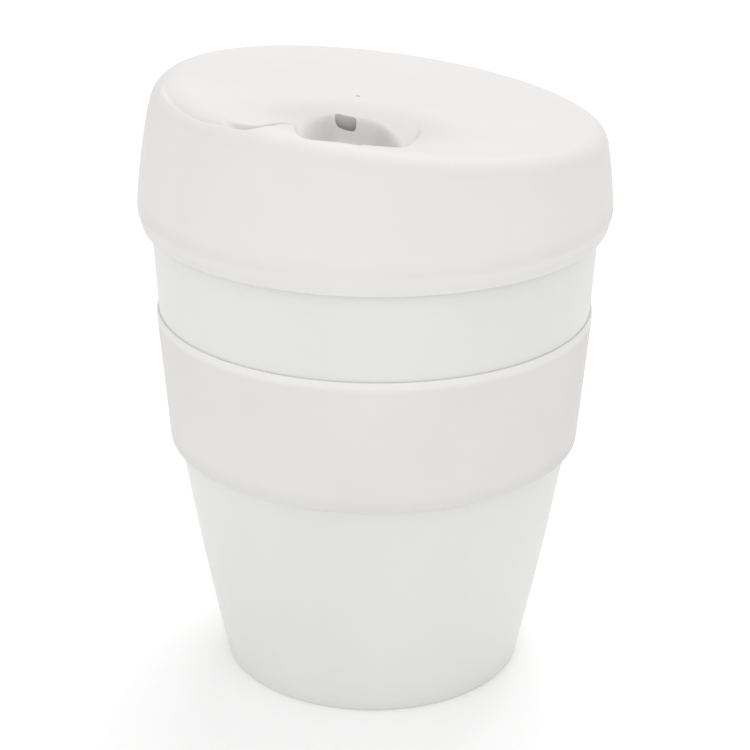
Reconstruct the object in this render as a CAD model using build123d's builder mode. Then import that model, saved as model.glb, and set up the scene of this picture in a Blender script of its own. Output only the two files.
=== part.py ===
from build123d import *
import os
from math import degrees

# Reusable travel cup: a rigid tapered cup, a soft grip band round its waist and a soft push-on lid.
# Millimetres, +Z up. The origin is the centre of the base, on the surface that the cup stands on.
# The lid's high side is towards -X and its sip pocket is towards -Y.

# Cup, outside
foot_radius = 30.75
foot_mid_radius = 35.80          # half way up the lower wall, which bows outwards a little
seat_low_radius = 40.00          # under the band's bottom edge
seat_high_radius = 41.70         # under the band's top edge
shoulder_radius = 43.65          # the step that the band seats against
rim_radius = 45.15
seat_bottom = 49.6
shoulder_height = 77.6
rim_height = 104.3

# Cup, inside
wall = 1.8
floor_thickness = 2.6
foot_ring_width = 3.6
foot_recess = 0.8
inner_corner_radius = 5.0
ledge_drop = 2.6                 # how far the inner ledge starts below and ends above the shoulder

# Grip band
band_gap = 0.25                  # between the band and the cup, all round
band_low_radius = 41.80
band_high_radius = 43.95
band_edge_radius = 0.7

# Lid, outside
skirt_bottom = 95.5
skirt_edge_radius = 46.3
widest_radius = 47.3
widest_height = 99.0
side_mid_radius = 45.45
side_mid_height = 114.5
side_top_radius = 41.80
side_top_height = 130.0
lid_height = 120.4               # of the slanted top, on the cup's axis
fall_x = 0.123                   # fall of the top per unit towards +X
fall_y = 0.035                   # and towards +Y
crown_radius = 5.0
trim_height = 140.0              # well above the lid

# Lid, inside
fit_gap = 0.3                    # between the lid and the rim, inside and outside
rest_gap = 0.2                   # between the lid and the top of the rim
plug_depth = 8.0
plug_wall = 1.8
rib_height = 0.15
rib_half_width = 0.6
rib_drops = (2.2, 5.0)           # of the two sealing ribs, below the top of the rim
top_thickness = 3.4
hollow_start = 107.0
hollow_low_radius = 43.4
hollow_top_radius = 39.4
hollow_corner_radius = 4.0

# Sip pocket, sip hole, thumb scoop and vent, on the slanted top
pocket_near_left = (-14.0, -36.6)
pocket_near_mid = (-4.4, -38.4)
pocket_near_right = (5.4, -35.9)
pocket_tip = (8.3, -24.5)
pocket_back = (-1.5, -15.0)
pocket_back_left = (-13.0, -21.0)
pocket_depth = 6.6
pocket_taper = 14.0
pocket_wall = 1.8
sip_hole_size = (4.0, 4.0)
sip_hole_place = (-5.7, -19.2)
scoop_start = (-34.8, -7.5)
scoop_mid = (-29.0, -22.5)
scoop_end = (-11.0, -28.0)
scoop_radius = 6.0
scoop_depth = 2.0
vent_radius = 0.75
vent_place = (-3.5, -2.6)

lid_top = Plane(origin=(0, 0, lid_height), x_dir=(1, 0, -fall_x), z_dir=(fall_x, fall_y, 1))


def rings_at(part, height):
    """The round edges of a turned part that lie at one height."""
    level = part.edges().filter_by_position(Axis.Z, height - 0.01, height + 0.01)
    return level.filter_by(GeomType.CIRCLE)


def inner_rim_radius(height):
    """The radius of the cup's inner wall near the rim, which tapers."""
    slope = (rim_radius - shoulder_radius) / (rim_height - shoulder_height)
    return rim_radius - wall - (rim_height - height) * slope


# Cup: one moulded shell with a foot ring, a recess for the band and a matching ledge inside
with BuildPart() as cup:
    with BuildSketch(Plane.XZ):
        with BuildLine():
            Line((foot_radius - foot_ring_width, 0), (foot_radius, 0))
            ThreePointArc(
                (foot_radius, 0),
                (foot_mid_radius, seat_bottom / 2),
                (seat_low_radius, seat_bottom),
            )
            Polyline(
                (seat_low_radius, seat_bottom),
                (seat_high_radius, shoulder_height),
                (shoulder_radius, shoulder_height),
                (rim_radius, rim_height),
                (rim_radius - wall, rim_height),
                (shoulder_radius - wall, shoulder_height + ledge_drop),
                (seat_high_radius - wall, shoulder_height - ledge_drop),
                (seat_low_radius - wall, seat_bottom),
            )
            ThreePointArc(
                (seat_low_radius - wall, seat_bottom),
                (foot_mid_radius - wall, seat_bottom / 2),
                (foot_radius - wall, floor_thickness),
            )
            Polyline(
                (foot_radius - wall, floor_thickness),
                (0, floor_thickness),
                (0, foot_recess),
                (foot_radius - foot_ring_width - foot_recess, foot_recess),
                (foot_radius - foot_ring_width, 0),
            )
        make_face()
    revolve(axis=Axis.Z)
    fillet(rings_at(cup, rim_height), radius=0.7)
    fillet(rings_at(cup, 0).sort_by(SortBy.RADIUS)[-1], radius=1.0)
    fillet(rings_at(cup, floor_thickness), radius=inner_corner_radius)
    fillet(rings_at(cup, shoulder_height).sort_by(SortBy.RADIUS)[-1], radius=0.4)
cup.part.label = "cup"

# Grip band: a soft sleeve that sits in the recess, its outer face level with the cup above it
band_top = shoulder_height - rest_gap
with BuildPart() as grip_band:
    with BuildSketch(Plane.XZ):
        with BuildLine():
            Polyline(
                (seat_low_radius + band_gap, seat_bottom),
                (band_low_radius, seat_bottom),
                (band_high_radius, band_top),
                (seat_high_radius + band_gap, band_top),
                close=True,
            )
        make_face()
    revolve(axis=Axis.Z)
    fillet(rings_at(grip_band, seat_bottom).sort_by(SortBy.RADIUS)[-1], radius=band_edge_radius)
    fillet(rings_at(grip_band, band_top).sort_by(SortBy.RADIUS)[-1], radius=band_edge_radius)
grip_band.part.label = "grip_band"

# The hollow under the lid: straight inside the plug, wider above the rim, with a slanted ceiling
plug_top = rim_height + rest_gap
plug_bottom = rim_height - plug_depth
plug_top_radius = inner_rim_radius(plug_top) - fit_gap
plug_bottom_radius = inner_rim_radius(plug_bottom) - fit_gap
with BuildPart() as hollow:
    with BuildSketch(Plane.XZ):
        with BuildLine():
            Polyline(
                (0, skirt_bottom - 5),
                (plug_bottom_radius - plug_wall, skirt_bottom - 5),
                (plug_bottom_radius - plug_wall, plug_bottom),
                (plug_top_radius - plug_wall, plug_top),
                (hollow_low_radius, hollow_start),
                (hollow_top_radius, side_top_height),
                (hollow_top_radius, trim_height),
                (0, trim_height),
                close=True,
            )
        make_face()
    revolve(axis=Axis.Z)
    split(bisect_by=lid_top.offset(-top_thickness), keep=Keep.BOTTOM)
    fillet(hollow.faces().sort_by(Axis.Z)[-1].edges(), radius=hollow_corner_radius)

# The thumb scoop: a round-bottomed channel that runs along the lid's high edge into the pocket
scoop_plane = lid_top.offset(scoop_radius - scoop_depth)
with BuildPart() as scoop:
    with BuildLine(scoop_plane, mode=Mode.PRIVATE):
        scoop_path = ThreePointArc(scoop_start, scoop_mid, scoop_end)
    with BuildSketch(Plane(origin=scoop_path @ 0, z_dir=scoop_path % 0)):
        Circle(scoop_radius)
    revolve(
        axis=Axis(scoop_path.arc_center, scoop_plane.z_dir),
        revolution_arc=degrees(scoop_path.length / scoop_path.radius),
    )


def pocket_outline():
    """The sip pocket's outline: an arc along the lip and two round sides that meet at the back."""
    with BuildSketch() as outline:
        with BuildLine():
            ThreePointArc(pocket_near_left, pocket_near_mid, pocket_near_right)
            ThreePointArc(pocket_near_right, pocket_tip, pocket_back)
            ThreePointArc(pocket_back, pocket_back_left, pocket_near_left)
        make_face()
    return outline.sketch


# Lid: a hollow shell with a slanted top, a skirt outside the rim and a ribbed plug inside it
with BuildPart() as lid:
    with BuildSketch(Plane.XZ):
        with BuildLine():
            Line((0, skirt_bottom), (skirt_edge_radius, skirt_bottom))
            Line((skirt_edge_radius, skirt_bottom), (widest_radius, widest_height))
            ThreePointArc(
                (widest_radius, widest_height),
                (side_mid_radius, side_mid_height),
                (side_top_radius, side_top_height),
            )
            Polyline(
                (side_top_radius, side_top_height),
                (side_top_radius, trim_height),
                (0, trim_height),
                (0, skirt_bottom),
            )
        make_face()
    revolve(axis=Axis.Z)
    split(bisect_by=lid_top, keep=Keep.BOTTOM)
    fillet(lid.faces().sort_by(Axis.Z)[-1].edges(), radius=crown_radius)
    add(hollow.part, mode=Mode.SUBTRACT)
    with BuildSketch(Plane.XZ):
        with BuildLine():
            Polyline(
                (plug_bottom_radius - plug_wall - 5, skirt_bottom - 5),
                (rim_radius + fit_gap, skirt_bottom - 5),
                (rim_radius + fit_gap, plug_top),
                (plug_top_radius, plug_top),
                (plug_bottom_radius, plug_bottom),
                (plug_bottom_radius - plug_wall - 5, plug_bottom),
                close=True,
            )
        make_face()
    revolve(axis=Axis.Z, mode=Mode.SUBTRACT)
    for rib_drop in rib_drops:
        rib_z = rim_height - rib_drop
        rib_r = inner_rim_radius(rib_z) - fit_gap
        with BuildSketch(Plane.XZ):
            with BuildLine():
                Polyline(
                    (rib_r - 0.5, rib_z - rib_half_width),
                    (rib_r - 0.05, rib_z - rib_half_width),
                    (rib_r + rib_height, rib_z),
                    (rib_r - 0.05, rib_z + rib_half_width),
                    (rib_r - 0.5, rib_z + rib_half_width),
                    close=True,
                )
            make_face()
        revolve(axis=Axis.Z)
    with BuildSketch(lid_top.offset(-top_thickness / 2)):
        add(pocket_outline())
        offset(amount=pocket_wall)
    extrude(amount=-(pocket_depth + pocket_wall - top_thickness / 2), taper=pocket_taper)
    add(scoop.part, mode=Mode.SUBTRACT)
    with Locations(scoop_path @ 0):
        Sphere(scoop_radius, mode=Mode.SUBTRACT)
    with BuildSketch(lid_top.offset(crown_radius)):
        add(pocket_outline())
    extrude(amount=-crown_radius, mode=Mode.SUBTRACT)
    with BuildSketch(lid_top):
        add(pocket_outline())
    extrude(amount=-pocket_depth, taper=pocket_taper, mode=Mode.SUBTRACT)
    with BuildSketch(lid_top):
        with Locations(sip_hole_place):
            RectangleRounded(*sip_hole_size, radius=0.9)
    extrude(amount=-3 * pocket_depth, mode=Mode.SUBTRACT)
    with BuildSketch(lid_top):
        with Locations(vent_place):
            Circle(vent_radius)
    extrude(amount=-2 * top_thickness, mode=Mode.SUBTRACT)
lid.part.label = "lid"

os.makedirs("parts", exist_ok=True)
for piece in (cup, grip_band, lid):
    export_step(piece.part, f"parts/{piece.part.label}.step")
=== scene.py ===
import math

import bpy
import bmesh
import numpy as np
from mathutils import Matrix, Vector


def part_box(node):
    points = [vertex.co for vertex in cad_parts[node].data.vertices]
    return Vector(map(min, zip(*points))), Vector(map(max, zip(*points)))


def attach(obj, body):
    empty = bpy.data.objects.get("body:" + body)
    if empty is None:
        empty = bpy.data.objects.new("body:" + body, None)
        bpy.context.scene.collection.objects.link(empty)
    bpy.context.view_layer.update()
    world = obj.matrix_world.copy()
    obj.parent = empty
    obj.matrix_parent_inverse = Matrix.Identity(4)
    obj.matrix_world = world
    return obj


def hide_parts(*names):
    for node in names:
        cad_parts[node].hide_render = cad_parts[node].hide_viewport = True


# Looks of the travel cup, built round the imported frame. Sizes below are in millimetres, as in the CAD
# model, and MM turns them into Blender's metres. +Z is up, -Y faces the camera, and the lid's high side
# is at -X.
MM = 0.001

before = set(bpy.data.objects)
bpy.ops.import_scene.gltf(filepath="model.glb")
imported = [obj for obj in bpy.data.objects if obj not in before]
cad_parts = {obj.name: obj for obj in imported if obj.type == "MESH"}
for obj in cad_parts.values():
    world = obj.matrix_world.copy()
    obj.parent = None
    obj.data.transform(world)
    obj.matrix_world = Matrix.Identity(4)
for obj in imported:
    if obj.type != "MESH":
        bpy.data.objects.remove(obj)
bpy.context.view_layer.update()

# ---------------------------------------------------------------- sizes

BAND_BOTTOM, BAND_TOP = ((corner / MM).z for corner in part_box("grip_band"))
RIM_HEIGHT = (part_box("cup")[1] / MM).z
SKIRT_BOTTOM = (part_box("lid")[0] / MM).z

ROUND_TURNS = 256                # directions that the cup's and the band's skins are made of
LID_TURNS = 960                  # and the lid's, which has fine shapes in its top

FOOT_RADIUS = 30.75
FOOT_BOW = 0.42                  # how far the lower wall bows out of a straight line, half way up
SEAT_LOW_RADIUS = 40.00
SEAT_HIGH_RADIUS = 41.70
SHOULDER_HEIGHT = 77.6
SHOULDER_RADIUS = 43.55
RIM_RADIUS = 45.15
WALL = 1.8
FLOOR = 2.6
FOOT_RING_INNER = 27.15
FOOT_RECESS = 0.8
LEDGE_DROP = 2.6
LEDGE_ROUNDING = 4.0
FLOOR_ROUNDING = 5.0
RIM_ROUNDING = 0.8

BAND_GAP = 0.25
BAND_LOW_RADIUS = 41.80
BAND_HIGH_RADIUS = 44.05
BAND_PRESS = 0.14                # the soft band presses closer to the shoulder than its CAD solid
BAND_LIP = 0.32                  # and its rolled top edge stands this far up outside the shoulder
BAND_LIP_GAP = 0.01
BAND_LOW_ROUNDING = 0.9

SKIRT_EDGE_RADIUS = 46.35
WIDEST_RADIUS = 47.3
WIDEST_HEIGHT = 99.0
LID_SIDE_TOP = (41.80, 130.0)
LID_SIDE_BOW = 0.9               # how far the lid's side bows out of a straight line, half way up
LID_HEIGHT = 120.4               # of the slanted top, on the cup's axis
FALL_X = 0.123                   # fall of the top per unit towards +X
FALL_Y = 0.035                   # and towards +Y
DOME = 0.4                       # how far the top is crowned in its middle
CROWN_RADIUS = 5.1
CROWN_CHANGE = 1.3               # how much rounder it is on the high side, and sharper on the low side
CROWN_STEPS = 40
CROWN_SUPPORT = 1.0
CROWN_DROP = 9                   # from the crown's corner to where the plain side starts
WIDEST_ROUNDING = 3.5
CHANNEL_RADIUS = 45.45           # the groove under the lid that takes the rim
PLUG_TOP = 104.5
PLUG_TOP_RADIUS = 43.06
PLUG_BOTTOM = 96.3
PLUG_BOTTOM_RADIUS = 42.60
PLUG_WALL = 1.8
RIB_HEIGHT = 0.2
RIB_HALF_WIDTH = 0.6
RIB_LEVELS = (102.1, 99.3)
TOP_THICKNESS = 3.4
HOLLOW_START = 107.0
HOLLOW_LOW_RADIUS = 43.4
HOLLOW_TOP_RADIUS = 39.4
HOLLOW_CORNER = 4.0
TOP_RINGS = 60                   # rings that would fill the top evenly, used out to two thirds of the way
EDGE_RINGS = 90                  # and rings in the outer third
CEILING_RINGS = 40

# The lid's pressed-in shape. Its crisp near edge starts on the high side, follows the crown round the lip,
# turns in to the sip pocket's left end, follows the lip again and ends at the pocket's right tip.
NEAR_EDGE = [
    (-41.8, -3.0),
    (-40.6, -11.1),
    (-37.3, -19.7),
    (-32.8, -26.9),
    (-26.6, -32.2),
    (-23.0, -34.0),
    (-19.8, -33.1),
    (-17.2, -30.4),
    (-15.5, -30.9),
    (-14.8, -34.6),
    (-13.0, -37.8),
    (-9.0, -38.5),
    (-4.4, -38.3),
    (1.0, -37.5),
    (5.2, -35.8),
    (7.4, -29.0),
    (8.6, -22.0),
    (8.0, -14.0),
]
SWOOSH_DEPTH = 0.8               # and twice that at the high side
SWOOSH_DEEPER = (-34, -22)       # in x, where it goes from twice as deep to that depth
SWOOSH_START = (2, 20)           # in -y, where it fades in
SWOOSH_END = (-21, -9)           # in x, where it fades out
SWOOSH_WIDTH = 13.0
DISH_CENTRE = (-1.5, -38.0)
DISH_REACH = (18.0, 29.5)
DISH_DEPTH = 4.0
DEEP_CENTRE = (-4.3, -38.5)
DEEP_REACH = (10.0, 22.0)
DEEP_DEPTH = 4.4
DEEP_SQUARENESS = 2.5            # 2 is an ellipse, and more is squarer
DEEP_WALL = 0.16                 # share of the reach that the pocket's steep wall takes
DEEP_LEFT_END = (7.5, 14)        # in -x, where that share grows by DEEP_LEFT_SOFTER times
DEEP_LEFT_SOFTER = 2.2
DEEP_RIGHT_END = (0, 5)          # in x, where it grows by DEEP_RIGHT_SOFTER times
DEEP_RIGHT_SOFTER = 1.4
FOLD_DEPTH = 2.7                 # of the narrow fold right behind the lip
FOLD_EDGE = (1.1, 2.3)           # behind the near edge, where it fades out
FOLD_START = (-28.5, -21.5)      # in x, where it fades in
FOLD_END = (-17.5, -15)          # and out
EDGE_RAMP = (-0.3, 0.8)          # behind the near edge, where the top drops to its pressed-in shape
SOFT_EDGE = 2.2                  # wider by this between the fold and the pocket
SOFT_EDGE_START = (-17.5, -15.8)
SOFT_EDGE_END = (-15.5, -14)
INSIDE_GROWTH = 2.0              # how much wider the pressed-in shape is on the lid's underside
SIP_HOLE = (-5.7, -17.5)         # in the pocket's back wall
SIP_HOLE_DROP = 2.0              # of its middle below the slanted top
SIP_HOLE_SIZE = (4.0, 2.1)
SIP_HOLE_ROUNDING = 0.7
SIP_HOLE_FALL = 76               # degrees that it falls away under the lid
VENT = (-3.5, -3.4)
VENT_RADIUS = 0.4

# ---------------------------------------------------------------- tints, light and camera

# Painted shade round the sip pocket: its centre and reach in millimetres and its darkest factor
POCKET_SHADE = (-4.0, -22.0, 119.0)
POCKET_SHADE_REACH = (26.0, 18.0, 14.0)
POCKET_SHADE_TINT = 0.885
SHADE_FADE = (0.3, 1)            # in shares of the reach
NOISE_RANGE = (0.3, 0.7)         # of a noise texture's value, which seldom leaves it
CLOUD_SIZE = 22
SMUDGE_SIZE = 9
WAVE_SIZE = 14
WAVE_RELIEF = 12                 # times the grain's
# Painted shade in recesses: an occlusion sample darkens the colour where little is open round a point
RECESS_SAMPLES = 6
RECESS_RANGE = (0.6, 1)          # of openness, over which a recess goes from darkest to plain
SCATTER_COLOUR = (1.0, 0.9, 0.8)
SCATTER_DEPTH = 1.5

FLOOR_GREY = 0.97
FLOOR_GLOW = 0.12

SKY_SIDES = 0.60
SKY_FRONT = 0.30
SKY_OVERHEAD = 0.34

# Places in metres, powers in watts
OVERHEAD_LIGHT = (0.12, 0.45, 0.95)
OVERHEAD_TARGET = (0, 0, 0.1)
OVERHEAD_POWER = 2.9
FRONT_LIGHT = (-0.35, -1.2, 0.55)
FRONT_TARGET = (0, 0, 0.06)
FRONT_POWER = 1.5
LIGHT_SIZE = 0.6

CAMERA_DISTANCE = 0.473
CAMERA_ELEVATION = math.radians(22.45)
CAMERA_AIM = 0.0613              # height of the point on the cup's axis that it looks at
CAMERA_ROLL = math.radians(0.43)
CAMERA_SHIFT = 1 / 750           # in widths of the picture
SENSOR_WIDTH = 36
FOCAL_LENGTH = 110.4


# ---------------------------------------------------------------- mesh helpers


def rounded(corners, closed=False, steps=6, support=0.35):
    """A polyline through (radius, height, rounding) corners, each turned into an arc.
    A supporting point on each side of the arc keeps the shading of the straight stretches flat."""
    points = []
    count = len(corners)
    for i, (r, z, rounding) in enumerate(corners):
        here = Vector((r, z))
        if rounding <= 0 or (not closed and i in (0, count - 1)):
            points.append(here)
            continue
        before = Vector(corners[i - 1][:2]) - here
        after = Vector(corners[(i + 1) % count][:2]) - here
        angle = before.angle(after)
        reach = rounding / math.tan(angle / 2)
        start = here + before.normalized() * reach
        end = here + after.normalized() * reach
        inward = (before.normalized() + after.normalized()).normalized()
        centre = here + inward * (rounding / math.sin(angle / 2))
        turn = math.pi - angle
        points.append(start + before.normalized() * min(support, rounding))
        for step in range(steps + 1):
            share = step / steps
            a = math.sin((1 - share) * turn) / math.sin(turn)
            b = math.sin(share * turn) / math.sin(turn)
            points.append(centre + (start - centre) * a + (end - centre) * b)
        points.append(end + after.normalized() * min(support, rounding))
    return points


def add_object(name, bm):
    """Turns a bmesh into a smooth-shaded object in the scene."""
    mesh = bpy.data.meshes.new(name)
    bmesh.ops.recalc_face_normals(bm, faces=bm.faces)
    bm.to_mesh(mesh)
    bm.free()
    piece = bpy.data.objects.new(name, mesh)
    bpy.context.scene.collection.objects.link(piece)
    mesh.polygons.foreach_set("use_smooth", [True] * len(mesh.polygons))
    return piece


def turned(name, outlines, closed):
    """Joins one outline per direction, (radius, height) points, into a skin round the axis.
    An open outline starts and ends on the axis."""
    bm = bmesh.new()
    turns = len(outlines)
    length = len(outlines[0])
    rings = []
    for k, outline in enumerate(outlines):
        angle = 2 * math.pi * k / turns
        ring = []
        for i, (r, z) in enumerate(outline):
            on_axis = not closed and i in (0, length - 1)
            if on_axis and k:
                ring.append(rings[0][i])
            else:
                ring.append(bm.verts.new((r * math.cos(angle) * MM, r * math.sin(angle) * MM, z * MM)))
        rings.append(ring)
    for k in range(turns):
        here = rings[k]
        there = rings[(k + 1) % turns]
        for i in range(length if closed else length - 1):
            j = (i + 1) % length
            corners = [here[i], there[i], there[j], here[j]]
            corners = [v for n, v in enumerate(corners) if v not in corners[:n]]
            bm.faces.new(corners)
    return add_object(name, bm)


def prism(name, outline, centre, fall, before, after):
    """A prism to cut a hole with, that runs back and down from a point at so many degrees."""
    along = Vector((0, math.cos(math.radians(fall)), -math.sin(math.radians(fall))))
    across = Vector((1, 0, 0))
    up = across.cross(along)
    bm = bmesh.new()
    start = Vector(centre) - along * before
    end = Vector(centre) + along * after
    floor = [bm.verts.new((end + across * x + up * y) * MM) for x, y in outline]
    roof = [bm.verts.new((start + across * x + up * y) * MM) for x, y in outline]
    bm.faces.new(floor)
    bm.faces.new(roof)
    for i in range(len(outline)):
        j = (i + 1) % len(outline)
        bm.faces.new([floor[i], floor[j], roof[j], roof[i]])
    return add_object(name, bm)


def round_box(size, radius, steps=5):
    """A rectangle with round corners, as a plan outline."""
    half_x = size[0] / 2 - radius
    half_y = size[1] / 2 - radius
    outline = []
    for corner, (sign_x, sign_y) in enumerate([(1, 1), (-1, 1), (-1, -1), (1, -1)]):
        for step in range(steps + 1):
            angle = (corner + step / steps) * math.pi / 2
            x = sign_x * half_x + radius * math.cos(angle)
            y = sign_y * half_y + radius * math.sin(angle)
            outline.append((x, y))
    return outline


def cut(piece, cutters):
    """Cuts the cutters out of a piece and deletes them. Edges that turn by over 50 degrees stay crisp."""
    for cutter in cutters:
        boolean = piece.modifiers.new("cut", "BOOLEAN")
        boolean.operation = "DIFFERENCE"
        boolean.solver = "MANIFOLD"
        boolean.object = cutter
    shape = piece.evaluated_get(bpy.context.evaluated_depsgraph_get())
    mesh = bpy.data.meshes.new_from_object(shape)
    piece.modifiers.clear()
    piece.data = mesh
    mesh.name = piece.name
    mesh.polygons.foreach_set("use_smooth", [True] * len(mesh.polygons))
    mesh.set_sharp_from_angle(angle=math.radians(50))
    for cutter in cutters:
        bpy.data.objects.remove(cutter)


# ---------------------------------------------------------------- cup


def cup_radius(z):
    """The cup's lower outer wall: a straight taper with a slight outward bow."""
    share = z / BAND_BOTTOM
    return FOOT_RADIUS + (SEAT_LOW_RADIUS - FOOT_RADIUS) * share + 4 * FOOT_BOW * share * (1 - share)


def make_cup():
    """The cup's shell: outside from the foot to the rim, then inside from the rim to the floor."""
    heights = [BAND_BOTTOM * k / 16 for k in range(1, 16)]
    corners = [(0, FOOT_RECESS, 0), (FOOT_RING_INNER - FOOT_RECESS, FOOT_RECESS, 0.3)]
    corners += [(FOOT_RING_INNER, 0, 0.3), (FOOT_RADIUS, 0, 1.0)]
    corners += [(cup_radius(z), z, 0) for z in heights]
    corners += [
        (SEAT_LOW_RADIUS, BAND_BOTTOM, 0),
        (SEAT_HIGH_RADIUS, SHOULDER_HEIGHT, 0.4),
        (SHOULDER_RADIUS, SHOULDER_HEIGHT, 0.1),
        (RIM_RADIUS, RIM_HEIGHT, RIM_ROUNDING),
        (RIM_RADIUS - WALL, RIM_HEIGHT, RIM_ROUNDING),
        (SHOULDER_RADIUS - WALL, SHOULDER_HEIGHT + LEDGE_DROP, LEDGE_ROUNDING),
        (SEAT_HIGH_RADIUS - WALL, SHOULDER_HEIGHT - LEDGE_DROP, LEDGE_ROUNDING),
        (SEAT_LOW_RADIUS - WALL, BAND_BOTTOM, 0),
    ]
    corners += [(cup_radius(z) - WALL, z, 0) for z in reversed(heights) if z > FLOOR + FLOOR_ROUNDING + 1]
    corners += [(cup_radius(FLOOR) - WALL, FLOOR, FLOOR_ROUNDING), (0, FLOOR, 0)]
    outline = rounded(corners)
    cup = turned("cup_shell", [outline] * ROUND_TURNS, closed=False)
    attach(cup, "cup")
    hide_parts("cup")
    return cup


# ---------------------------------------------------------------- grip band


def make_band():
    """The grip band: a sleeve with a soft lower edge and a rolled top edge."""
    lip_radius = SHOULDER_RADIUS + BAND_LIP_GAP
    corners = [
        (SEAT_LOW_RADIUS + BAND_GAP, BAND_BOTTOM, 0.2),
        (BAND_LOW_RADIUS, BAND_BOTTOM, BAND_LOW_ROUNDING),
        (BAND_HIGH_RADIUS, BAND_TOP - 0.7, 1.2),
        (BAND_HIGH_RADIUS - 0.15, BAND_TOP + BAND_LIP, 0.14),
        (lip_radius, BAND_TOP + BAND_LIP, 0),
        (lip_radius, BAND_TOP + BAND_PRESS, 0),
        (SEAT_HIGH_RADIUS + BAND_GAP, BAND_TOP + BAND_PRESS, 0.15),
    ]
    outline = rounded(corners, closed=True)
    band = turned("grip_band_sleeve", [outline] * ROUND_TURNS, closed=True)
    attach(band, "grip_band")
    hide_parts("grip_band")
    return band


# ---------------------------------------------------------------- lid


def smooth_step(value, low, high):
    """Runs smoothly from 0 to 1 while the value runs from low to high."""
    share = np.clip((value - low) / (high - low), 0, 1)
    return share * share * (3 - 2 * share)


def smooth_line(points, per_span=8):
    """A Catmull-Rom curve through the points."""
    points = np.array(points, float)
    ends = np.vstack([2 * points[0] - points[1], points, 2 * points[-1] - points[-2]])
    line = []
    for i in range(1, len(ends) - 2):
        p0, p1, p2, p3 = ends[i - 1 : i + 3]
        for t in np.arange(per_span) / per_span:
            bend = (2 * p0 - 5 * p1 + 4 * p2 - p3) * t * t + (3 * p1 - p0 - 3 * p2 + p3) * t**3
            line.append(0.5 * (2 * p1 + (p2 - p0) * t + bend))
    line.append(ends[-2])
    return np.array(line)


def distance_behind(x, y, line):
    """Distance of each point from a line, positive on the line's left."""
    best = np.full(x.shape, 1e9)
    side = np.ones(x.shape)
    for start, stop in zip(line[:-1], line[1:]):
        span = stop - start
        to_x = x - start[0]
        to_y = y - start[1]
        share = np.clip((to_x * span[0] + to_y * span[1]) / (span @ span), 0, 1)
        distance = np.hypot(to_x - share * span[0], to_y - share * span[1])
        nearer = distance < best - 1e-9
        best = np.where(nearer, distance, best)
        side = np.where(nearer, np.sign(span[0] * to_y - span[1] * to_x), side)
    return best * side


def oval(x, y, centre, reach, grow, power):
    """Distance from a centre that is 1 on an oval. A power of 2 is an ellipse, and more is squarer."""
    across = np.abs(x - centre[0]) / (reach[0] + grow)
    along = np.abs(y - centre[1]) / (reach[1] + grow)
    return (across**power + along**power) ** (1 / power)


def window(value, start, end):
    """1 between two fades, each given as a (low, high) range, and 0 outside them."""
    return smooth_step(value, *start) * (1 - smooth_step(value, *end))


def lid_sink(x, y, grow=0.0):
    """How far the lid's top is pressed in at a plan point. The shape can be grown outwards a little."""
    behind = distance_behind(x, y, smooth_line(NEAR_EDGE))
    swoosh = SWOOSH_DEPTH * (2 - smooth_step(x, *SWOOSH_DEEPER))
    swoosh = swoosh * np.clip(1 - behind / SWOOSH_WIDTH, 0, 1) ** 1.5
    swoosh *= smooth_step(-y, *SWOOSH_START) * (1 - smooth_step(x, *SWOOSH_END))
    dish_x = (x - DISH_CENTRE[0]) / (DISH_REACH[0] + grow)
    dish_y = (y - DISH_CENTRE[1]) / (DISH_REACH[1] + grow)
    dish = DISH_DEPTH * smooth_step(1 - np.hypot(dish_x, dish_y), 0, 1)
    left_end = DEEP_LEFT_SOFTER * smooth_step(-x, *DEEP_LEFT_END)
    right_end = DEEP_RIGHT_SOFTER * smooth_step(x, *DEEP_RIGHT_END)
    away = oval(x, y, DEEP_CENTRE, DEEP_REACH, grow, DEEP_SQUARENESS)
    deep = DEEP_DEPTH * smooth_step(1 - away, 0, DEEP_WALL * (1 + left_end + right_end))
    fold = FOLD_DEPTH * (1 - smooth_step(behind, *FOLD_EDGE))
    fold *= window(x, FOLD_START, FOLD_END)
    pressed = (swoosh**3 + dish**3) ** (1 / 3) + deep + fold
    softened = SOFT_EDGE * window(x, SOFT_EDGE_START, SOFT_EDGE_END)
    return pressed * smooth_step(behind, EDGE_RAMP[0] - grow, EDGE_RAMP[1] + softened - grow)


def top_height(x, y):
    """The slanted top's height at a plan point."""
    return LID_HEIGHT - FALL_X * x - FALL_Y * y


def lid_side(z):
    """The lid's outer radius between its widest ring and its crown."""
    top_r, top_z = LID_SIDE_TOP
    share = (z - WIDEST_HEIGHT) / (top_z - WIDEST_HEIGHT)
    return WIDEST_RADIUS + (top_r - WIDEST_RADIUS) * share + 4 * LID_SIDE_BOW * share * (1 - share)


def lid_top_and_side(slope, crown):
    """The lid's outside in one direction: the points from its axis over the crown, and those down
    its side. The slope is how far the top falls that way per unit, and the crown is the rounding."""
    corner_z = LID_HEIGHT
    for _ in range(20):
        corner_z = LID_HEIGHT - slope * lid_side(corner_z)
    below = corner_z - CROWN_DROP
    corners = [(0, LID_HEIGHT, 0), (lid_side(corner_z), corner_z, crown), (lid_side(below), below, 0)]
    shoulder = rounded(corners, steps=CROWN_STEPS, support=CROWN_SUPPORT)[1:-1]
    start_r = shoulder[0].x
    radii = [start_r * n / TOP_RINGS for n in range(TOP_RINGS * 2 // 3)]
    radii += [start_r * (2 / 3 + n / 3 / EDGE_RINGS) for n in range(EDGE_RINGS)]
    top = [Vector((r, LID_HEIGHT - slope * r + DOME * (1 - (r / start_r) ** 2) ** 2)) for r in radii]
    heights = [shoulder[-1].y + (WIDEST_HEIGHT + 2.5 - shoulder[-1].y) * n / 9 for n in range(1, 9)]
    side = [Vector((lid_side(z), z)) for z in heights]
    return top + shoulder, side


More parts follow.
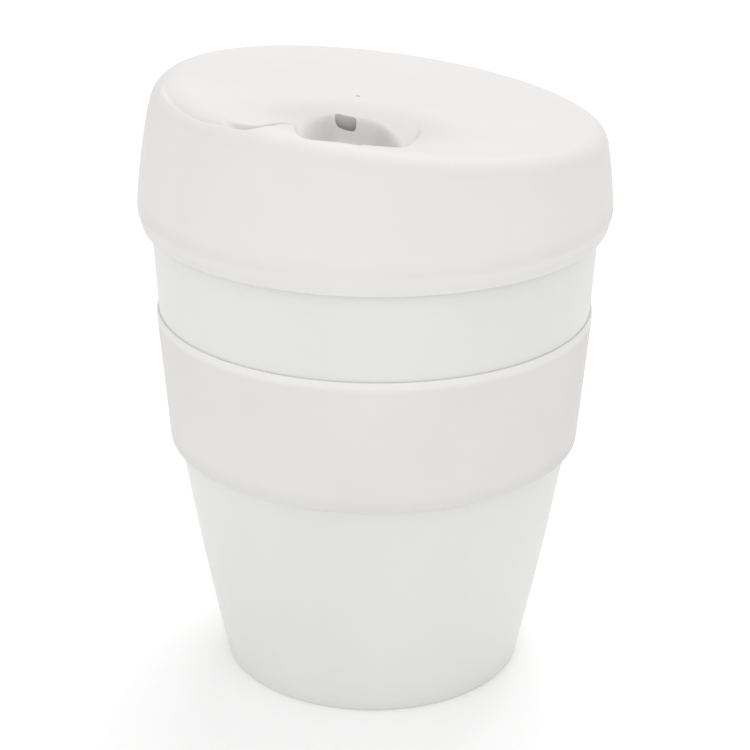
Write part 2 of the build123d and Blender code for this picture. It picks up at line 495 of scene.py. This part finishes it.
def lid_skirt():
    """The lid's lower part: widest ring, edge, rim channel, ribbed plug and the hollow's wall."""
    skirt = [
        (lid_side(WIDEST_HEIGHT + 3), WIDEST_HEIGHT + 3, 0),
        (WIDEST_RADIUS, WIDEST_HEIGHT, WIDEST_ROUNDING),
        (SKIRT_EDGE_RADIUS, SKIRT_BOTTOM, 0.8),
        (CHANNEL_RADIUS, SKIRT_BOTTOM, 0.15),
        (CHANNEL_RADIUS, PLUG_TOP, 0.4),
        (PLUG_TOP_RADIUS, PLUG_TOP, 0.4),
    ]
    for level in RIB_LEVELS:
        share = (level - PLUG_BOTTOM) / (PLUG_TOP - PLUG_BOTTOM)
        r = PLUG_BOTTOM_RADIUS + (PLUG_TOP_RADIUS - PLUG_BOTTOM_RADIUS) * share
        skirt += [
            (r, level + RIB_HALF_WIDTH, 0),
            (r + RIB_HEIGHT, level, 0.2),
            (r, level - RIB_HALF_WIDTH, 0),
        ]
    skirt += [
        (PLUG_BOTTOM_RADIUS, PLUG_BOTTOM, 0.5),
        (PLUG_BOTTOM_RADIUS - PLUG_WALL, PLUG_BOTTOM, 0.5),
        (PLUG_TOP_RADIUS - PLUG_WALL, PLUG_TOP, 1.5),
        (HOLLOW_LOW_RADIUS, HOLLOW_START, 1.0),
        (HOLLOW_TOP_RADIUS, LID_SIDE_TOP[1], 0),
    ]
    return rounded(skirt)[1:-1]


def lid_ceiling(slope):
    """The hollow's slanted ceiling in one direction, from its round corner to the axis."""
    ceiling_z = LID_HEIGHT - TOP_THICKNESS - slope * HOLLOW_TOP_RADIUS
    share = (ceiling_z - HOLLOW_START) / (LID_SIDE_TOP[1] - HOLLOW_START)
    ceiling_r = HOLLOW_LOW_RADIUS + (HOLLOW_TOP_RADIUS - HOLLOW_LOW_RADIUS) * share
    ceiling_z = LID_HEIGHT - TOP_THICKNESS - slope * ceiling_r
    corners = [
        (HOLLOW_LOW_RADIUS, HOLLOW_START, 0),
        (ceiling_r, ceiling_z, HOLLOW_CORNER),
        (0, LID_HEIGHT - TOP_THICKNESS, 0),
    ]
    ceiling = rounded(corners, steps=10)[1:-1]
    end_r = ceiling[-1].x
    for n in range(CEILING_RINGS - 1, -1, -1):
        z = LID_HEIGHT - TOP_THICKNESS - slope * end_r * n / CEILING_RINGS
        ceiling.append(Vector((end_r * n / CEILING_RINGS, z)))
    return ceiling


def lid_outline(angle):
    """The lid's section in one direction, without its pressed-in shape,
    and how many of its points are on the top and on the ceiling."""
    slope = FALL_X * math.cos(angle) + FALL_Y * math.sin(angle)
    crown = CROWN_RADIUS - CROWN_CHANGE * math.cos(angle)
    top, side = lid_top_and_side(slope, crown)
    ceiling = lid_ceiling(slope)
    return top + side + lid_skirt() + ceiling, len(top), len(ceiling)


def make_lid():
    """The lid: a turned shell, pressed in on top and below, with the sip hole and the vent cut out."""
    angles = 2 * np.pi * np.arange(LID_TURNS) / LID_TURNS
    sections = [lid_outline(angle) for angle in angles]
    top_count, ceiling_count = sections[0][1:]
    grid = np.array([[tuple(p) for p in section[0]] for section in sections])
    x = grid[:, :, 0] * np.cos(angles)[:, None]
    y = grid[:, :, 0] * np.sin(angles)[:, None]
    top = slice(0, top_count)
    grid[:, top, 1] -= lid_sink(x[:, top], y[:, top])
    inside = slice(grid.shape[1] - ceiling_count, grid.shape[1])
    ceiling = top_height(x[:, inside], y[:, inside]) - TOP_THICKNESS
    ceiling -= lid_sink(x[:, inside], y[:, inside], grow=INSIDE_GROWTH)
    grid[:, inside, 1] = np.minimum(grid[:, inside, 1], ceiling)
    lid = turned("lid_shell", grid.tolist(), closed=False)
    hole_place = (*SIP_HOLE, top_height(*SIP_HOLE) - SIP_HOLE_DROP)
    hole_outline = round_box(SIP_HOLE_SIZE, SIP_HOLE_ROUNDING)
    sip_hole = prism("sip_hole_cutter", hole_outline, hole_place, SIP_HOLE_FALL, 4, 8)
    vent_place = (*VENT, top_height(*VENT))
    vent_angles = angles[:: LID_TURNS // 24]
    vent_outline = [(VENT_RADIUS * math.cos(a), VENT_RADIUS * math.sin(a)) for a in vent_angles]
    vent = prism("vent_cutter", vent_outline, vent_place, 90, 3, 9)
    cut(lid, [sip_hole, vent])
    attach(lid, "lid")
    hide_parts("lid")
    return lid


# ---------------------------------------------------------------- materials


def new_material(name):
    """A new material, with its nodes, its links and its shader."""
    material = bpy.data.materials.new(name)
    material.use_nodes = True
    nodes = material.node_tree.nodes
    shader = nodes["Principled BSDF"]
    return material, nodes, material.node_tree.links, shader


def noise(nodes, links, place, size, detail, stretch=(1, 1, 1)):
    """A noise texture whose grain is about size millimetres, in the piece's own coordinates."""
    mapping = nodes.new("ShaderNodeMapping")
    mapping.inputs["Scale"].default_value = stretch
    texture = nodes.new("ShaderNodeTexNoise")
    texture.inputs["Scale"].default_value = 1 / (size * MM)
    texture.inputs["Detail"].default_value = detail
    links.new(place.outputs["Object"], mapping.inputs["Vector"])
    links.new(mapping.outputs["Vector"], texture.inputs["Vector"])
    return texture


def mapped(nodes, links, value, source, target, interpolation="LINEAR"):
    """A number carried over from one (low, high) range to another."""
    ramp = nodes.new("ShaderNodeMapRange")
    ramp.interpolation_type = interpolation
    for name, number in zip(("From Min", "From Max", "To Min", "To Max"), (*source, *target)):
        ramp.inputs[name].default_value = number
    links.new(value, ramp.inputs["Value"])
    return ramp.outputs["Result"]


def tinted(nodes, links, texture, colour_a, colour_b):
    """A colour that varies between two tints with the texture."""
    mix = nodes.new("ShaderNodeMix")
    mix.data_type = "RGBA"
    share = mapped(nodes, links, texture.outputs["Fac"], NOISE_RANGE, (0, 1))
    mix.inputs["A"].default_value = (*colour_a, 1)
    mix.inputs["B"].default_value = (*colour_b, 1)
    links.new(share, mix.inputs["Factor"])
    return mix.outputs["Result"]


def multiplied(nodes, links, colour, factor):
    """The colour times a factor."""
    mix = nodes.new("ShaderNodeMix")
    mix.data_type = "RGBA"
    mix.blend_type = "MULTIPLY"
    mix.inputs["Factor"].default_value = 1
    links.new(colour, mix.inputs["A"])
    links.new(factor, mix.inputs["B"])
    return mix.outputs["Result"]


def recess_shaded(nodes, links, colour, reach, darkest):
    """The colour, a little darker in recesses: painted shade, from how open each point is within the reach.
    """
    recess = nodes.new("ShaderNodeAmbientOcclusion")
    recess.samples = RECESS_SAMPLES
    recess.only_local = True
    recess.inputs["Distance"].default_value = reach * MM
    factor = mapped(nodes, links, recess.outputs["AO"], RECESS_RANGE, (darkest, 1))
    return multiplied(nodes, links, colour, factor)


def place_shaded(nodes, links, place, colour, centre, reach, darkest):
    """The colour, darker round a place in millimetres: painted shade. It fades out at its reach."""
    mapping = nodes.new("ShaderNodeMapping")
    mapping.vector_type = "TEXTURE"
    mapping.inputs["Location"].default_value = [c * MM for c in centre]
    mapping.inputs["Scale"].default_value = [r * MM for r in reach]
    links.new(place.outputs["Object"], mapping.inputs["Vector"])
    away = nodes.new("ShaderNodeVectorMath")
    away.operation = "LENGTH"
    links.new(mapping.outputs["Vector"], away.inputs[0])
    factor = mapped(nodes, links, away.outputs["Value"], SHADE_FADE, (darkest, 1), "SMOOTHSTEP")
    return multiplied(nodes, links, colour, factor)


def height_shaded(nodes, links, place, colour, stops):
    """The colour times a factor that changes with height, for painted shade and painted highlights along
    edges.
    The stops are (height in millimetres, factor), from the lowest up."""
    split = nodes.new("ShaderNodeSeparateXYZ")
    links.new(place.outputs["Object"], split.inputs["Vector"])
    low = stops[0][0]
    high = stops[-1][0]
    share = mapped(nodes, links, split.outputs["Z"], (low * MM, high * MM), (0, 1))
    ramp = nodes.new("ShaderNodeValToRGB")
    ramp.color_ramp.interpolation = "EASE"
    for height, _ in stops[1:-1]:
        ramp.color_ramp.elements.new((height - low) / (high - low))
    for element, (_, factor) in zip(ramp.color_ramp.elements, stops):
        element.color = (factor, factor, factor, 1)
    links.new(share, ramp.inputs["Fac"])
    return multiplied(nodes, links, colour, ramp.outputs["Color"])


def moulded(
    name,
    tint_a,
    tint_b,
    roughness,
    grain,
    relief,
    glow,
    recess,
    stops,
    specular,
    place_shade=None,
    stretch=(1, 1, 1),
):
    """A moulded plastic or rubber: cloudy colour, painted shade in recesses and round a place, painted
    shade and highlights by height, uneven sheen, fine grain and a slow waviness. The grain and the relief
    are its size and height in millimetres."""
    material, nodes, links, shader = new_material(name)
    place = nodes.new("ShaderNodeTexCoord")
    clouds = noise(nodes, links, place, CLOUD_SIZE, 3, stretch)
    # painted shade and highlights by height
    colour = height_shaded(nodes, links, place, tinted(nodes, links, clouds, tint_a, tint_b), stops)
    # painted shade round a place
    if place_shade:
        colour = place_shaded(nodes, links, place, colour, *place_shade)
    # painted shade in recesses, over the colour
    links.new(recess_shaded(nodes, links, colour, *recess), shader.inputs["Base Color"])
    smudges = noise(nodes, links, place, SMUDGE_SIZE, 4, stretch)
    sheen = mapped(nodes, links, smudges.outputs["Fac"], NOISE_RANGE, roughness)
    links.new(sheen, shader.inputs["Roughness"])
    fine = noise(nodes, links, place, grain, 2)
    slow = noise(nodes, links, place, WAVE_SIZE, 1, stretch)
    for texture, height in ((slow, relief * WAVE_RELIEF), (fine, relief)):
        bump = nodes.new("ShaderNodeBump")
        bump.inputs["Strength"].default_value = 1.0
        bump.inputs["Distance"].default_value = height * MM
        links.new(texture.outputs["Fac"], bump.inputs["Height"])
        if shader.inputs["Normal"].is_linked:
            links.new(shader.inputs["Normal"].links[0].from_socket, bump.inputs["Normal"])
        links.new(bump.outputs["Normal"], shader.inputs["Normal"])
    shader.inputs["Subsurface Weight"].default_value = glow
    shader.inputs["Subsurface Radius"].default_value = SCATTER_COLOUR
    shader.inputs["Subsurface Scale"].default_value = SCATTER_DEPTH * MM
    shader.inputs["Specular IOR Level"].default_value = specular
    return material


def make_materials():
    """The materials of the cup, the band and the lid."""
    plastic = moulded(
        "polypropylene",
        tint_a=(0.752, 0.756, 0.740),
        tint_b=(0.777, 0.779, 0.763),
        roughness=(0.30, 0.40),
        grain=0.25,
        relief=0.003,
        glow=0.15,
        # reach and darkest factor of the painted shade in recesses
        recess=(2.0, 0.9),
        # darker towards the foot, and painted shade just above the band's top edge
        stops=[(0, 0.96), (3, 1), (SHOULDER_HEIGHT - 2, 0.97), (SHOULDER_HEIGHT + 2, 1)],
        stretch=(1, 1, 0.35),
        specular=0.3,
    )
    band = moulded(
        "band_silicone",
        tint_a=(0.85, 0.837, 0.822),
        tint_b=(0.882, 0.868, 0.853),
        roughness=(0.58, 0.72),
        grain=0.16,
        relief=0.006,
        glow=0.1,
        # reach and darkest factor of the painted shade in recesses
        recess=(4.0, 0.8),
        # painted shade on the lower edge and a painted highlight on the rolled top edge
        stops=[
            (BAND_BOTTOM, 0.80),
            (BAND_BOTTOM + 1.4, 0.83),
            (BAND_BOTTOM + 4, 0.867),
            (BAND_TOP - 2, 0.867),
            (BAND_TOP - 0.4, 0.97),
            (BAND_TOP + BAND_LIP, 1),
        ],
        specular=0.35,
    )
    lid = moulded(
        "lid_silicone",
        tint_a=(0.795, 0.778, 0.762),
        tint_b=(0.82, 0.803, 0.787),
        roughness=(0.50, 0.62),
        grain=0.18,
        relief=0.005,
        glow=0.1,
        # reach and darkest factor of the painted shade in recesses
        recess=(13.0, 0.92),
        # painted shade round the sip pocket and the dish behind it
        place_shade=(POCKET_SHADE, POCKET_SHADE_REACH, POCKET_SHADE_TINT),
        # painted shade on the lid's lower edge
        stops=[(SKIRT_BOTTOM, 0.93), (WIDEST_HEIGHT + 0.5, 0.96), (WIDEST_HEIGHT + 4, 1)],
        specular=0.4,
    )
    return plastic, band, lid


# ---------------------------------------------------------------- stage, light and camera


def make_stage():
    """A plain white floor that glows very slightly, and evenly, like a lit table."""
    bm = bmesh.new()
    bmesh.ops.create_grid(bm, x_segments=1, y_segments=1, size=6)
    floor = add_object("floor", bm)
    white, _, _, shader = new_material("floor_white")
    shader.inputs["Base Color"].default_value = (FLOOR_GREY, FLOOR_GREY, FLOOR_GREY, 1)
    shader.inputs["Emission Color"].default_value = (1, 1, 1, 1)
    shader.inputs["Emission Strength"].default_value = FLOOR_GLOW
    shader.inputs["Roughness"].default_value = 0.9
    floor.data.materials.append(white)


def area_light(name, place, target, power):
    """A square soft light at a place, turned to its target."""
    light = bpy.data.lights.new(name, "AREA")
    light.energy = power
    light.size = LIGHT_SIZE
    lamp = bpy.data.objects.new(name, light)
    lamp.location = place
    lamp.rotation_euler = (Vector(target) - Vector(place)).to_track_quat("-Z", "Y").to_euler()
    bpy.context.scene.collection.objects.link(lamp)


def make_light():
    """A soft studio: brightest overhead and in front, darker at the sides."""
    world = bpy.data.worlds.new("studio")
    bpy.context.scene.world = world
    world.use_nodes = True
    nodes = world.node_tree.nodes
    links = world.node_tree.links
    place = nodes.new("ShaderNodeTexCoord")
    split = nodes.new("ShaderNodeSeparateXYZ")
    links.new(place.outputs["Generated"], split.inputs["Vector"])
    total = None
    for axis, facing, amount in (("Z", 1, SKY_OVERHEAD), ("Y", -1, SKY_FRONT)):
        toward = nodes.new("ShaderNodeMath")
        toward.operation = "MULTIPLY"
        toward.use_clamp = True
        toward.inputs[1].default_value = facing
        links.new(split.outputs[axis], toward.inputs[0])
        squared = nodes.new("ShaderNodeMath")
        squared.operation = "POWER"
        squared.inputs[1].default_value = 2
        links.new(toward.outputs["Value"], squared.inputs[0])
        share = nodes.new("ShaderNodeMath")
        share.operation = "MULTIPLY_ADD"
        share.inputs[1].default_value = amount
        share.inputs[2].default_value = SKY_SIDES
        if total:
            links.new(total.outputs["Value"], share.inputs[2])
        links.new(squared.outputs["Value"], share.inputs[0])
        total = share
    links.new(total.outputs["Value"], nodes["Background"].inputs["Strength"])
    nodes["Background"].inputs["Color"].default_value = (1, 1, 1, 1)
    area_light("overhead", OVERHEAD_LIGHT, OVERHEAD_TARGET, OVERHEAD_POWER)
    area_light("front", FRONT_LIGHT, FRONT_TARGET, FRONT_POWER)
    bpy.context.scene.view_settings.view_transform = "Standard"


def make_camera():
    """A long lens in front of the cup and a little above it, looking down at its middle."""
    camera_data = bpy.data.cameras.new("camera")
    camera_data.sensor_width = SENSOR_WIDTH
    camera_data.lens = FOCAL_LENGTH
    camera_data.shift_x = CAMERA_SHIFT
    camera = bpy.data.objects.new("camera", camera_data)
    bpy.context.scene.collection.objects.link(camera)
    back = CAMERA_DISTANCE * math.cos(CAMERA_ELEVATION)
    up = CAMERA_DISTANCE * math.sin(CAMERA_ELEVATION)
    place = Vector((0, -back, CAMERA_AIM + up))
    look = (Vector((0, 0, CAMERA_AIM)) - place).to_track_quat("-Z", "Y").to_matrix().to_4x4()
    camera.matrix_world = Matrix.Translation(place) @ look @ Matrix.Rotation(CAMERA_ROLL, 4, "Z")
    bpy.context.scene.camera = camera


cup = make_cup()
band = make_band()
lid = make_lid()
for piece, material in zip((cup, band, lid), make_materials()):
    piece.data.materials.clear()
    piece.data.materials.append(material)
make_stage()
make_light()
make_camera()
